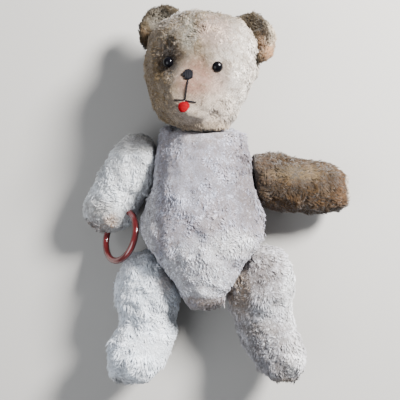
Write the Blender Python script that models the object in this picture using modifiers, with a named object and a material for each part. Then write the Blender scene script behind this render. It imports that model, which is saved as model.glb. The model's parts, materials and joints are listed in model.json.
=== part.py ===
"""Jointed plush teddy bear, lying on its back, in metres.

The bear's front faces +Z, its head points along +Y and its own left side is at +X. Each of the
five joints is a split pin through two fibre discs, one on each side of the covers that meet:
the neck, both shoulders and both hips. A ring is threaded through the right paw.
"""

import math

import bmesh
import bpy
from mathutils import Matrix, Vector
from mathutils.bvhtree import BVHTree

# Covers, stuffing and the gaps between them
COVER_THICKNESS = 0.0015
FIT_GAP = 0.0004
FACE_GAP = 0.0008
LIMB_SIDES = 8
TRUNK_SIDES = 10

# Split pins, washers and discs, along each joint's own axis
WIRE_RADIUS = 0.0008
WIRE_OFFSET = 0.0011
EYE_LOOP_RADIUS = 0.0030
CURL_RADIUS = 0.0028
DISC_THICKNESS = 0.0030
WASHER_THICKNESS = 0.0010
WASHER_RADIUS = 0.0080
PIN_HOLE_RADIUS = 0.0026
POCKET_RADIUS = 0.0092
DISC_STEPS = 16
WASHER_STEPS = 12

DISC_START = FACE_GAP / 2 + COVER_THICKNESS + FIT_GAP
WASHER_START = DISC_START + DISC_THICKNESS + FIT_GAP
PIN_START = WASHER_START + WASHER_THICKNESS + FIT_GAP
POCKET_DEPTH = PIN_START + 2 * EYE_LOOP_RADIUS + 4 * WIRE_RADIUS

# Joint name: point where the covers meet, axis from torso to limb, recess radius in the torso, disc radius
LEFT_SHOULDER_TILT = math.radians(9)
RIGHT_SHOULDER_TILT = math.radians(2)
HIP_TILT = math.radians(34)
NECK_NOD = math.radians(12)
NECK_LEAN = math.radians(4)
JOINTS = {
    "neck": (
        Vector((0.0030, 0.0665, 0.0420)),
        Vector((math.sin(NECK_LEAN), math.cos(NECK_NOD), math.sin(NECK_NOD))),
        0.0600,
        0.0200,
    ),
    "left_shoulder": (
        Vector((0.0475, 0.0240, 0.0400)),
        Vector((math.cos(LEFT_SHOULDER_TILT), math.sin(LEFT_SHOULDER_TILT), 0)),
        0.0315,
        0.0135,
    ),
    "right_shoulder": (
        Vector((-0.0404, 0.0345, 0.0395)),
        Vector((-math.cos(RIGHT_SHOULDER_TILT), math.sin(RIGHT_SHOULDER_TILT), 0)),
        0.0310,
        0.0118,
    ),
    "left_hip": (
        Vector((0.0370, -0.0610, 0.0365)),
        Vector((math.cos(HIP_TILT), -math.sin(HIP_TILT), 0)),
        0.0395,
        0.0150,
    ),
    "right_hip": (
        Vector((-0.0310, -0.0620, 0.0365)),
        Vector((-math.cos(HIP_TILT), -math.sin(HIP_TILT), 0)),
        0.0395,
        0.0150,
    ),
}

# Soft forms: (centre), half width, half depth at each station along the form
TORSO = (
    ((0.0035, -0.0965, 0.0400), 0.0150, 0.0210),
    ((0.0035, -0.0890, 0.0425), 0.0260, 0.0330),
    ((0.0035, -0.0640, 0.0450), 0.0440, 0.0450),
    ((0.0030, -0.0410, 0.0460), 0.0585, 0.0485),
    ((0.0030, -0.0240, 0.0460), 0.0590, 0.0490),
    ((0.0030, -0.0020, 0.0445), 0.0510, 0.0480),
    ((0.0030, 0.0260, 0.0435), 0.0490, 0.0435),
    ((0.0030, 0.0480, 0.0420), 0.0455, 0.0400),
    ((0.0030, 0.0640, 0.0420), 0.0405, 0.0350),
    ((0.0030, 0.0800, 0.0420), 0.0330, 0.0290),
)
LEFT_ARM = (
    ((0.0370, 0.0245, 0.0395), 0.0235, 0.0225),
    ((0.0560, 0.0215, 0.0380), 0.0258, 0.0238),
    ((0.0820, 0.0150, 0.0330), 0.0262, 0.0235),
    ((0.1060, 0.0105, 0.0290), 0.0255, 0.0230),
    ((0.1280, 0.0076, 0.0265), 0.0225, 0.0205),
    ((0.1385, 0.0066, 0.0260), 0.0135, 0.0125),
)
RIGHT_ARM = (
    ((-0.0450, 0.0580, 0.0410), 0.0160, 0.0150),
    ((-0.0500, 0.0500, 0.0405), 0.0220, 0.0210),
    ((-0.0590, 0.0330, 0.0380), 0.0240, 0.0230),
    ((-0.0710, 0.0140, 0.0330), 0.0250, 0.0235),
    ((-0.0830, -0.0050, 0.0275), 0.0245, 0.0230),
    ((-0.0915, -0.0185, 0.0245), 0.0215, 0.0205),
    ((-0.0955, -0.0265, 0.0240), 0.0130, 0.0125),
)
LEFT_LEG = (
    ((0.0530, -0.0415, 0.0365), 0.0150, 0.0150),
    ((0.0535, -0.0505, 0.0360), 0.0265, 0.0255),
    ((0.0545, -0.0730, 0.0357), 0.0365, 0.0362),
    ((0.0570, -0.0940, 0.0325), 0.0300, 0.0305),
    ((0.0605, -0.1120, 0.0285), 0.0275, 0.0280),
    ((0.0645, -0.1270, 0.0330), 0.0265, 0.0285),
    ((0.0720, -0.1400, 0.0455), 0.0250, 0.0265),
    ((0.0775, -0.1510, 0.0580), 0.0205, 0.0205),
    ((0.0795, -0.1560, 0.0635), 0.0130, 0.0130),
)
RIGHT_LEG = (
    ((-0.0430, -0.0450, 0.0370), 0.0140, 0.0160),
    ((-0.0440, -0.0540, 0.0365), 0.0245, 0.0270),
    ((-0.0480, -0.0740, 0.0355), 0.0350, 0.0350),
    ((-0.0485, -0.0950, 0.0320), 0.0310, 0.0310),
    ((-0.0485, -0.1140, 0.0295), 0.0290, 0.0290),
    ((-0.0520, -0.1285, 0.0340), 0.0300, 0.0290),
    ((-0.0590, -0.1415, 0.0455), 0.0290, 0.0265),
    ((-0.0660, -0.1520, 0.0570), 0.0230, 0.0205),
    ((-0.0690, -0.1570, 0.0620), 0.0140, 0.0130),
)

# The head's own frame: X to its left, Y to its crown, Z out of its face
HEAD_CENTRE = Vector((0.0010, 0.1190, 0.0530))
HEAD_TURN = math.radians(-9)
HEAD_ROLL = math.radians(-7)
HEAD = (
    ((0.0070, -0.0660, 0.0100), 0.0220, 0.0240),
    ((0.0050, -0.0560, 0.0100), 0.0300, 0.0330),
    ((0.0020, -0.0400, 0.0070), 0.0380, 0.0420),
    ((0.0010, -0.0220, 0.0030), 0.0470, 0.0480),
    ((0.0000, -0.0020, 0.0000), 0.0525, 0.0515),
    ((0.0000, 0.0190, 0.0000), 0.0510, 0.0495),
    ((0.0000, 0.0370, 0.0000), 0.0410, 0.0390),
    ((0.0000, 0.0500, 0.0000), 0.0225, 0.0215),
)
SNOUT = (
    ((0.0000, -0.0240, 0.0150), 0.0340, 0.0300),
    ((0.0000, -0.0235, 0.0360), 0.0300, 0.0265),
    ((0.0000, -0.0225, 0.0520), 0.0235, 0.0230),
    ((0.0000, -0.0210, 0.0630), 0.0150, 0.0160),
)
EYE_RADIUS = 0.0045
EYE_DOME = 0.0034
EYE_SHANK_RADIUS = 0.0010
EYE_SHANK_LENGTH = 0.0070
EYE_SPREAD = 0.0218
EYE_HEIGHT = 0.0030
NOSE_HALF = (0.0048, 0.0054, 0.0022)
NOSE_HEIGHT = -0.0060
MOUTH_HEIGHT = -0.0262
MOUTH_HALF_WIDTH = 0.0095
THREAD_RADIUS = 0.0005
TONGUE_HALF = (0.0042, 0.0046, 0.0010)
# Ear: centre, half width, height and thickness, and how far it folds towards the face
EARS = {
    "left_ear": ((0.0400, 0.0285, -0.0090), (0.0290, 0.0225, 0.0085), math.radians(-32)),
    "right_ear": ((-0.0395, 0.0295, -0.0090), (0.0235, 0.0225, 0.0085), math.radians(12)),
}
EAR_RIM = 0.0050
EAR_HOLLOW_HALF_DEPTH = 0.0080
EAR_HOLLOW_SHIFT = (0.0, 0.0030, 0.0072)

# The ring through the right paw
RING_RADIUS = 0.0230
RING_WIRE = 0.0030
RING_CENTRE = Vector((-0.0727, -0.0329, 0.0400))
RING_UP = Vector((0.165, 0.968, -0.190))
RING_RIGHT = Vector((0.646, 0.036, 0.762))
RING_CLEARANCE = 0.0007
RING_SEGMENTS = 24
RING_WIRE_SEGMENTS = 8

PLUSH = ((0.74, 0.69, 0.60, 1), 0.95, 0.0)
STUFFING = ((0.66, 0.55, 0.36, 1), 1.0, 0.0)
FIBREBOARD = ((0.38, 0.25, 0.15, 1), 0.85, 0.0)
STEEL = ((0.56, 0.55, 0.53, 1), 0.4, 1.0)
BLACK_GLASS = ((0.01, 0.01, 0.012, 1), 0.1, 0.0)
BLACK_THREAD = ((0.02, 0.02, 0.025, 1), 0.8, 0.0)
RED_FELT = ((0.72, 0.02, 0.02, 1), 0.9, 0.0)
RING_PLASTIC = ((0.20, 0.015, 0.02, 1), 0.25, 0.0)

bear = bpy.data.collections.new("jointed_teddy_bear")
helpers = bpy.data.collections.new("cutters")


def clear_scene():
    for obj in list(bpy.data.objects):
        bpy.data.objects.remove(obj)
    bpy.context.scene.collection.children.link(bear)
    bpy.context.scene.collection.children.link(helpers)


def finish_of(name, look):
    """A Principled material, made once for each finish."""
    material = bpy.data.materials.get(name) or bpy.data.materials.new(name)
    material.use_nodes = True
    shader = material.node_tree.nodes["Principled BSDF"]
    colour, roughness, metallic = look
    shader.inputs["Base Color"].default_value = colour
    shader.inputs["Roughness"].default_value = roughness
    shader.inputs["Metallic"].default_value = metallic
    return material


def place(name, data, look=None, matrix=None, smooth=True):
    """Links a new object: a part with its finish, or a cutter when it has no look."""
    obj = bpy.data.objects.new(name, data)
    obj.matrix_world = matrix or Matrix.Identity(4)
    if look:
        bear.objects.link(obj)
        data.materials.append(finish_of(*look))
        if smooth and isinstance(data, bpy.types.Mesh):
            data.shade_smooth()
    else:
        helpers.objects.link(obj)
        obj.hide_render = True
        obj.display_type = "WIRE"
    return obj


def mesh_of(bm, name):
    bmesh.ops.recalc_face_normals(bm, faces=bm.faces)
    mesh = bpy.data.meshes.new(name)
    bm.to_mesh(mesh)
    bm.free()
    return mesh


def boolean(obj, other, operation="DIFFERENCE"):
    modifier = obj.modifiers.new(operation.lower(), "BOOLEAN")
    modifier.operation = operation
    modifier.solver = "EXACT"
    modifier.object = other


def joint_frame(joint):
    """Z along the pin from the torso into the limb, with Z = 0 where the covers meet."""
    point, axis = JOINTS[joint][:2]
    return Matrix.Translation(point) @ axis.to_track_quat("Z", "Y").to_matrix().to_4x4()


def head_frame():
    turn = Matrix.Rotation(HEAD_ROLL, 4, "Z") @ Matrix.Rotation(HEAD_TURN, 4, "Y")
    return Matrix.Translation(HEAD_CENTRE) @ turn @ Matrix.Rotation(NECK_NOD, 4, "X")


def soft_form(name, stations, sides, side_axis, inset=0.0, look=None, frame=None):
    """A cage of rings bridged along the stations, smoothed by subdivision. The inset draws it in all over."""
    bm = bmesh.new()
    points = [Vector(station[0]) for station in stations]
    points[0] += (points[1] - points[0]).normalized() * inset
    points[-1] += (points[-2] - points[-1]).normalized() * inset
    swell = 1 / (2 / 3 + math.cos(2 * math.pi / sides) / 3)
    last_ring = None
    for i, (_, half_width, half_depth) in enumerate(stations):
        along = (points[min(i + 1, len(points) - 1)] - points[max(i - 1, 0)]).normalized()
        depth = along.cross(Vector(side_axis)).normalized()
        side = depth.cross(along)
        matrix = Matrix((side, depth, along)).transposed().to_4x4()
        size = ((half_width - inset) * swell, (half_depth - inset) * swell, 1)
        matrix = Matrix.Translation(points[i]) @ matrix @ Matrix.Diagonal((*size, 1))
        made = bmesh.ops.create_circle(bm, cap_ends=False, segments=sides, radius=1, matrix=matrix)
        ring = list({edge for vert in made["verts"] for edge in vert.link_edges})
        if last_ring:
            bmesh.ops.bridge_loops(bm, edges=last_ring + ring)
        last_ring = ring
    ends = [edge for edge in bm.edges if edge.is_boundary]
    bmesh.ops.holes_fill(bm, edges=ends, sides=sides)
    if frame:
        bm.transform(frame)
    obj = place(name, mesh_of(bm, name), look)
    smooth = obj.modifiers.new("smooth", "SUBSURF")
    smooth.levels = smooth.render_levels = 1
    return obj


def cylinder(name, matrix, radius, low, high, segments=16):
    """A closed cylinder along the matrix's Z, from low to high."""
    bm = bmesh.new()
    middle = Matrix.Translation((0, 0, (low + high) / 2))
    bmesh.ops.create_cone(
        bm, cap_ends=True, segments=segments, radius1=radius, radius2=radius, depth=high - low, matrix=middle
    )
    return place(name, mesh_of(bm, name), matrix=matrix)


def ellipsoid(name, half, matrix, look=None, segments=16, rings=10):
    bm = bmesh.new()
    size = Matrix.Diagonal((*half, 1))
    bmesh.ops.create_uvsphere(bm, u_segments=segments, v_segments=rings, radius=1, matrix=size)
    return place(name, mesh_of(bm, name), look, matrix)


def turned(name, profile, steps, look, matrix):
    """A profile of (radius, height) turned about Z. It runs down its outer side."""
    mesh = bpy.data.meshes.new(name)
    last = len(profile) - 1
    edges = [(i, i + 1) for i in range(last)]
    if profile[0][0] > 0:
        edges.append((last, 0))
    mesh.from_pydata([(radius, 0, height) for radius, height in profile], edges, [])
    obj = place(name, mesh, look, matrix, smooth=False)
    screw = obj.modifiers.new("turn", "SCREW")
    screw.steps = screw.render_steps = steps
    screw.use_merge_vertices = True
    screw.merge_threshold = 0.00001
    return obj


def tube(name, points, radius, look, matrix=None):
    """A wire or thread through the points."""
    curve = bpy.data.curves.new(name, "CURVE")
    curve.dimensions = "3D"
    curve.bevel_depth = radius
    curve.bevel_resolution = 1
    curve.use_fill_caps = True
    spline = curve.splines.new("POLY")
    spline.points.add(len(points) - 1)
    for place_at, point in zip(spline.points, points):
        place_at.co = (*point, 1)
    return place(name, curve, look, matrix)


def arc(centre, radius, start, end, steps):
    """Points (across, along) round a centre, angles in degrees."""
    angles = [math.radians(start + (end - start) * i / steps) for i in range(steps + 1)]
    return [(centre[0] + radius * math.cos(a), centre[1] + radius * math.sin(a)) for a in angles]


def split_pin(joint):
    """One wire: curled end, leg, eye loop, leg, curled end. The eye bears on the limb's washer."""
    curl_start = -(PIN_START + WIRE_RADIUS + 0.0002)
    eye_centre = PIN_START + WIRE_RADIUS + EYE_LOOP_RADIUS
    curl = arc((WIRE_OFFSET + CURL_RADIUS, curl_start), CURL_RADIUS, 360, 180, 4)
    waist = math.degrees(math.asin(WIRE_OFFSET / EYE_LOOP_RADIUS))
    eye = arc((0, eye_centre), EYE_LOOP_RADIUS, -90 + waist, 90, 4)
    half = curl + [(WIRE_OFFSET, 0.0)] + eye
    other_half = [(-across, along) for across, along in reversed(half[:-1])]
    points = [(across, 0, along) for across, along in half + other_half]
    return tube(f"{joint}_pin", points, WIRE_RADIUS, ("steel", STEEL), joint_frame(joint))


def disc_and_washer(joint, side):
    """The fibre disc and steel washer on one side of a joint: the limb's at +Z, the torso's at -Z."""
    sign = 1 if side == "limb" else -1
    disc_radius = JOINTS[joint][3]
    for piece, radius, start, thickness, steps, look in (
        ("disc", disc_radius, DISC_START, DISC_THICKNESS, DISC_STEPS, ("fibreboard", FIBREBOARD)),
        ("washer", WASHER_RADIUS, WASHER_START, WASHER_THICKNESS, WASHER_STEPS, ("steel", STEEL)),
    ):
        low, high = sorted((sign * start, sign * (start + thickness)))
        hole = PIN_HOLE_RADIUS
        profile = ((radius, high), (radius, low), (hole, low), (hole, high))
        turned(f"{joint}_{side}_{piece}", profile, steps, look, joint_frame(joint))


def joint_cutters(joint, side, depth, around=0.0):
    """Cuts a form back at a joint. The torso gets a round recess and the limb a flat face."""
    radius = JOINTS[joint][2] + around if side == "torso" else 0.15
    name = f"{joint}_{side}_cut_{round(depth * 1e6)}"
    start = FACE_GAP / 2 + depth
    low, high = (-start, 0.08) if side == "torso" else (-0.08, start)
    return cylinder(name, joint_frame(joint), radius, low, high, 28)


def back_cutter(depth):
    """Everything below the floor the torso lies on, raised by the depth."""
    bm = bmesh.new()
    size = Matrix.Translation((0, 0, depth - 0.05)) @ Matrix.Diagonal((0.4, 0.4, 0.1, 1))
    bmesh.ops.create_cube(bm, size=1, matrix=size)
    name = f"back_cut_{round(depth * 1e6)}"
    return place(name, mesh_of(bm, name))


def pockets(joint, side):
    """Room in the stuffing for the disc, and behind it for the washer and the pin's end."""
    sign = 1 if side == "limb" else -1
    for radius, end in (
        (JOINTS[joint][3] + FIT_GAP, WASHER_START),
        (POCKET_RADIUS, POCKET_DEPTH),
    ):
        low, high = sorted((0.0, sign * end))
        yield cylinder(f"{joint}_{side}_pocket_{round(radius * 1e6)}", joint_frame(joint), radius, low, high)


def stuffed(name, form, joints, side, extra_cuts=()):
    """A cover with its cavity and pin holes, and the stuffing that fills it."""
    cavity = form(f"{name}_cavity", COVER_THICKNESS)
    cover = form(f"{name}_cover", 0.0, ("plush", PLUSH))
    filling_inset = COVER_THICKNESS + FIT_GAP
    stuffing = form(f"{name}_stuffing", filling_inset, ("stuffing", STUFFING))
    if side == "torso":
        boolean(cover, back_cutter(0.0))
        boolean(cavity, back_cutter(COVER_THICKNESS))
        boolean(stuffing, back_cutter(filling_inset))
    for joint in joints:
        boolean(cover, joint_cutters(joint, side, 0.0))
        boolean(cavity, joint_cutters(joint, side, COVER_THICKNESS, COVER_THICKNESS))
        boolean(stuffing, joint_cutters(joint, side, filling_inset, filling_inset))
    boolean(cover, cavity)
    for joint in joints:
        hole = cylinder(
            f"{joint}_{side}_hole", joint_frame(joint), PIN_HOLE_RADIUS, -4 * DISC_START, 4 * DISC_START, 10
        )
        boolean(cover, hole)
        for pocket in pockets(joint, side):
            boolean(stuffing, pocket)
        disc_and_washer(joint, side)
    for cutter in extra_cuts:
        boolean(cover, cutter)
        boolean(stuffing, cutter)
    return cover, stuffing


def body_form(stations, sides, side_axis):
    def form(name, inset, look=None):
        return soft_form(name, stations, sides, side_axis, inset, look)

    return form


def head_form(name, inset, look=None):
    """The skull joined with the snout."""
    skull = soft_form(name, HEAD, TRUNK_SIDES, (1, 0, 0), inset, look, head_frame())
    snout = soft_form(f"{name}_snout", SNOUT, LIMB_SIDES, (1, 0, 0), inset, frame=head_frame())
    boolean(skull, snout, "UNION")
    return skull


def surface_at(tree, across, height):
    """The point and outward normal of the face at a place in the head's frame, seen from the front."""
    frame = head_frame()
    start = frame @ Vector((across, height, 0.15))
    toward_face = frame.to_3x3() @ Vector((0, 0, -1))
    point, normal = tree.ray_cast(start, toward_face)[:2]
    return point, normal


def surface_frame(tree, across, height, lift):
    """A frame on the face with Z outward and Y towards the crown."""
    point, normal = surface_at(tree, across, height)
    crown = head_frame().to_3x3() @ Vector((0, 1, 0))
    side = crown.cross(normal).normalized()
    up = normal.cross(side)
    turn = Matrix((side, up, normal)).transposed().to_4x4()
    return Matrix.Translation(point + normal * lift) @ turn


def eye_frames(tree):
    lift = 2 * FIT_GAP
    return {
        "left_eye": surface_frame(tree, EYE_SPREAD, EYE_HEIGHT, lift),
        "right_eye": surface_frame(tree, -EYE_SPREAD, EYE_HEIGHT, lift),
    }


def eye(name, matrix):
    """A domed button eye with its shank."""
    dome = [(EYE_RADIUS * math.sin(a), EYE_DOME * math.cos(a)) for a in (i * math.pi / 10 for i in range(6))]
    shank = [(EYE_SHANK_RADIUS, 0.0), (EYE_SHANK_RADIUS, -EYE_SHANK_LENGTH), (0.0, -EYE_SHANK_LENGTH)]
    return turned(name, dome + shank, 14, ("black_glass", BLACK_GLASS), matrix)


def face(tree):
    """The nose, the two lengths of thread and the tongue."""
    nose_lift = NOSE_HALF[2] + FIT_GAP
    ellipsoid(
        "nose", NOSE_HALF, surface_frame(tree, 0, NOSE_HEIGHT, nose_lift), ("black_thread", BLACK_THREAD), 12, 8
    )
    thread_lift = THREAD_RADIUS + FIT_GAP
    nose_bottom = NOSE_HEIGHT - NOSE_HALF[1] - 2 * FIT_GAP
    mouth_top = MOUTH_HEIGHT + 3 * THREAD_RADIUS
    philtrum = []
    mouth = []
    for i in range(7):
        share = i / 6
        height = nose_bottom + (mouth_top - nose_bottom) * share
        point, normal = surface_at(tree, 0, height)
        philtrum.append(point + normal * thread_lift)
        across = MOUTH_HALF_WIDTH * (2 * share - 1)
        point, normal = surface_at(tree, across, MOUTH_HEIGHT)
        mouth.append(point + normal * thread_lift)
    tube("philtrum_thread", philtrum, THREAD_RADIUS, ("black_thread", BLACK_THREAD))
    tube("mouth_thread", mouth, THREAD_RADIUS, ("black_thread", BLACK_THREAD))
    tongue_height = MOUTH_HEIGHT - TONGUE_HALF[1] - 3 * THREAD_RADIUS
    tongue_lift = TONGUE_HALF[2] + FIT_GAP
    ellipsoid(
        "tongue", TONGUE_HALF, surface_frame(tree, 0, tongue_height, tongue_lift), ("red_felt", RED_FELT), 12, 8
    )


def ear(name, skull):
    """A cupped plush flap, cut to the skull. The fold turns its hollow towards the face."""
    place_in_head, half, fold = EARS[name]
    centre = Vector(place_in_head)
    outward = centre.normalized()
    across = outward.cross(Vector((0, 0, 1))).normalized()
    facing = across.cross(outward)
    turn = Matrix((across, outward, facing)).transposed().to_4x4()
    frame = head_frame() @ Matrix.Translation(centre) @ Matrix.Rotation(fold, 4, outward) @ turn
    flap = ellipsoid(name, half, frame, ("plush", PLUSH))
    hollow_frame = frame @ Matrix.Translation(EAR_HOLLOW_SHIFT)
    hollow_half = (half[0] - EAR_RIM, half[1] - EAR_RIM, EAR_HOLLOW_HALF_DEPTH)
    boolean(flap, ellipsoid(f"{name}_hollow", hollow_half, hollow_frame))
    boolean(flap, skull)
    return flap


def torus(name, wire, look=None):
    normal = RING_RIGHT.cross(RING_UP).normalized()
    up = RING_UP.normalized()
    frame = Matrix((up.cross(normal), up, normal)).transposed().to_4x4()
    bpy.ops.mesh.primitive_torus_add(
        major_radius=RING_RADIUS,
        minor_radius=wire,
        major_segments=RING_SEGMENTS,
        minor_segments=RING_WIRE_SEGMENTS,
    )
    made = bpy.context.object
    mesh = made.data
    bpy.data.objects.remove(made)
    return place(name, mesh, look, Matrix.Translation(RING_CENTRE) @ frame)


def ride_on(body, point, names):
    """Parents a body's pieces to an empty on its joint's axis."""
    pivot = bpy.data.objects.new(f"{body}_pivot", None)
    pivot.location = point
    bear.objects.link(pivot)
    bpy.context.view_layer.update()
    for name in names:
        piece = bpy.data.objects[name]
        piece.parent = pivot
        piece.matrix_parent_inverse = pivot.matrix_world.inverted()


def limb_pieces(limb, joint):
    return [f"{limb}_cover", f"{limb}_stuffing", f"{joint}_limb_disc", f"{joint}_limb_washer"]


def build():
    clear_scene()
    tunnel = torus("ring_tunnel", RING_WIRE + RING_CLEARANCE)
    stuffed("torso", body_form(TORSO, TRUNK_SIDES, (1, 0, 0)), JOINTS, "torso")
    stuffed("left_arm", body_form(LEFT_ARM, LIMB_SIDES, (0, 1, 0)), ["left_shoulder"], "limb")
    stuffed("right_arm", body_form(RIGHT_ARM, LIMB_SIDES, (1, 0, 0)), ["right_shoulder"], "limb", [tunnel])
    stuffed("left_leg", body_form(LEFT_LEG, LIMB_SIDES, (1, 0, 0)), ["left_hip"], "limb")
    stuffed("right_leg", body_form(RIGHT_LEG, LIMB_SIDES, (1, 0, 0)), ["right_hip"], "limb")
    head_cover, head_stuffing = stuffed("head", head_form, ["neck"], "limb")
    bpy.context.view_layer.update()
    tree = BVHTree.FromObject(head_cover, bpy.context.evaluated_depsgraph_get())
    for name, matrix in eye_frames(tree).items():
        eye(name, matrix)
        socket_depth = -EYE_SHANK_LENGTH - FIT_GAP
        socket = cylinder(f"{name}_socket", matrix, EYE_SHANK_RADIUS + FIT_GAP, socket_depth, EYE_DOME, 10)
        boolean(head_cover, socket)
        boolean(head_stuffing, socket)
    face(tree)
    skull = head_form("skull_cut", -FIT_GAP)
    for name in EARS:
        ear(name, skull)
    for joint in JOINTS:
        split_pin(joint)
    torus("grip_ring", RING_WIRE, ("ring_plastic", RING_PLASTIC))
    head_pieces = ["left_eye", "right_eye", "nose", "philtrum_thread", "mouth_thread", "tongue"]
    ride_on("head", JOINTS["neck"][0], limb_pieces("head", "neck") + head_pieces + ["left_ear", "right_ear"])
    for side in ("left", "right"):
        for limb, joint in (("arm", "shoulder"), ("leg", "hip")):
            point = JOINTS[f"{side}_{joint}"][0]
            ride_on(f"{side}_{limb}", point, limb_pieces(f"{side}_{limb}", f"{side}_{joint}"))
    ride_on("ring", RING_CENTRE, ["grip_ring"])


build()
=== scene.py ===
import json
import math

import bmesh
import bpy
import numpy as np
from mathutils import Matrix, Vector
from mathutils.bvhtree import BVHTree

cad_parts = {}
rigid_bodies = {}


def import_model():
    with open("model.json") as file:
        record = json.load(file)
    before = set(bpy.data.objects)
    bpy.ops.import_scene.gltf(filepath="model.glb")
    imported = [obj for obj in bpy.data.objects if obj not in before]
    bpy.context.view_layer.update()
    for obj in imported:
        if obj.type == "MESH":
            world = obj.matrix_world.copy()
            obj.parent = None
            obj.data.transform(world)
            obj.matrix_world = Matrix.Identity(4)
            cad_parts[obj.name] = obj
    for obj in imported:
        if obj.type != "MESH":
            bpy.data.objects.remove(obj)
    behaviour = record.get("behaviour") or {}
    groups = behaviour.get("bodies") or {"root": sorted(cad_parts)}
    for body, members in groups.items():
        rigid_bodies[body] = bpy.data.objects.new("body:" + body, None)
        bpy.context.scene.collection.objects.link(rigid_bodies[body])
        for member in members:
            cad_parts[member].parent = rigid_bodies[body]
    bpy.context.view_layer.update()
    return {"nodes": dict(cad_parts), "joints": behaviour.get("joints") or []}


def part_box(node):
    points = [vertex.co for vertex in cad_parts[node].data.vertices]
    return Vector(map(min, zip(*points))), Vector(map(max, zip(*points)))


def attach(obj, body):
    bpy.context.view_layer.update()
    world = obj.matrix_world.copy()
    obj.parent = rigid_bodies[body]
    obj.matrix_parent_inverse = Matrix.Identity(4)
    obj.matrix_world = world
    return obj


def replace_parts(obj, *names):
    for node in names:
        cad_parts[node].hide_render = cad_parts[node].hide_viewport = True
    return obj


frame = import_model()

NODES = frame["nodes"]
JOINTS = {joint["name"]: joint for joint in frame["joints"]}
SEED = 20

# Covers: how finely they are remade and how often they are smoothed
VOXEL = 0.0032
EAR_VOXEL = 0.0016
COVER_ROUNDS = 3
EAR_ROUNDS = 6

# How hard the stuffing presses outwards, and how far it may swell a cover
PRESSURE = 4
SWELL_STEPS = 20
SWELL_LIMIT = 0.0016

# Lumps under a cover, as (size across, height, seed), and the room left for the pile
BROAD_LUMPS = (0.016, 0.0034, 71)
FINE_LUMPS = (0.0050, 0.0018, 72)
PILE_ALLOWANCE = 0.0012

# The lowest that a cover and its pile may reach
COVER_FLOOR = 0.0004
PILE_FLOOR = 0.0002

# Points closer together than this are one point
SAME_POINT = 0.00001
CAD_SAME_POINT = 0.000005

# The joint that holds each part to the torso
JOINT_OF_LIMB = {
    "head": "neck",
    "left_arm": "left_shoulder",
    "right_arm": "right_shoulder",
    "left_leg": "left_hip",
    "right_leg": "right_hip",
}

# A cover's inner wall lies this close to what fills it
INNER_WALL_DISTANCE = 0.0014

# The gap kept at each joint's face, and how far around its axis the torso is pressed flat
JOINT_CLEARANCE = 0.0003
RECESS_DEPTH = 0.004
RECESS = {
    "neck": 0.060,
    "left_shoulder": 0.031,
    "right_shoulder": 0.032,
    "left_hip": 0.040,
    "right_hip": 0.040,
}


# ---------------------------------------------------------------- shapes


def linked(name, data):
    """A new object in the scene."""
    obj = bpy.data.objects.new(name, data)
    bpy.context.scene.collection.objects.link(obj)
    return obj


def piece(name, mesh, body, material):
    """A finished piece, riding on its body."""
    obj = linked(name, mesh)
    mesh.materials.clear()
    mesh.materials.append(material)
    mesh.shade_smooth()
    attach(obj, body)
    return obj


def mesh_from(bm, name, recalculate=True):
    """The finished mesh of a bmesh, which is used up."""
    if recalculate:
        bmesh.ops.recalc_face_normals(bm, faces=bm.faces)
    mesh = bpy.data.meshes.new(name)
    bm.to_mesh(mesh)
    bm.free()
    return mesh


def merged_copy(node):
    """A CAD node's shape with its loose triangles joined up."""
    bm = bmesh.new()
    bm.from_mesh(NODES[node].data)
    bmesh.ops.remove_doubles(bm, verts=bm.verts, dist=CAD_SAME_POINT)
    return bm


def tree_of(*names):
    """One search tree over several nodes."""
    joined = bmesh.new()
    for name in names:
        joined.from_mesh(NODES[name].data)
    tree = BVHTree.FromBMesh(joined)
    joined.free()
    return tree


def outer_skin(cover, filling):
    """The outside of a hollow cover, closed over its pin holes."""
    bm = merged_copy(cover)
    tree = tree_of(*filling)
    inner = [v for v in bm.verts if tree.find_nearest(v.co)[3] < INNER_WALL_DISTANCE]
    bmesh.ops.delete(bm, geom=inner, context="VERTS")
    strays = [e for e in bm.edges if not e.link_faces]
    bmesh.ops.delete(bm, geom=strays, context="EDGES")
    gaps = [e for e in bm.edges if e.is_boundary]
    bmesh.ops.holes_fill(bm, edges=gaps, sides=0)
    bmesh.ops.triangulate(bm, faces=[f for f in bm.faces if len(f.verts) > 4])
    return bm


def applied(obj):
    """Bakes an object's modifiers into its mesh."""
    bpy.context.view_layer.update()
    graph = bpy.context.evaluated_depsgraph_get()
    mesh = bpy.data.meshes.new_from_object(obj.evaluated_get(graph))
    obj.modifiers.clear()
    old = obj.data
    obj.data = mesh
    bpy.data.meshes.remove(old)
    return obj


def remade(name, mesh, voxel, rounds):
    """A shape made again from even faces, then smoothed."""
    obj = linked(name, mesh)
    remesh = obj.modifiers.new("even", "REMESH")
    remesh.mode = "VOXEL"
    remesh.voxel_size = voxel
    applied(obj)
    relax(obj.data, rounds)
    return obj


def vertex_values(mesh, which):
    values = np.empty(len(mesh.vertices) * 3, np.float32)
    mesh.vertices.foreach_get(which, values)
    return values.reshape(-1, 3).astype(float)


def coordinates(mesh):
    return vertex_values(mesh, "co")


def normals_of(mesh):
    return vertex_values(mesh, "normal")


def unit(vectors, least=0.0):
    """Each row at length one."""
    return vectors / (np.linalg.norm(vectors, axis=1, keepdims=True) + least)


def set_coordinates(mesh, points):
    mesh.vertices.foreach_set("co", points.astype(np.float32).ravel())
    mesh.update()


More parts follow.
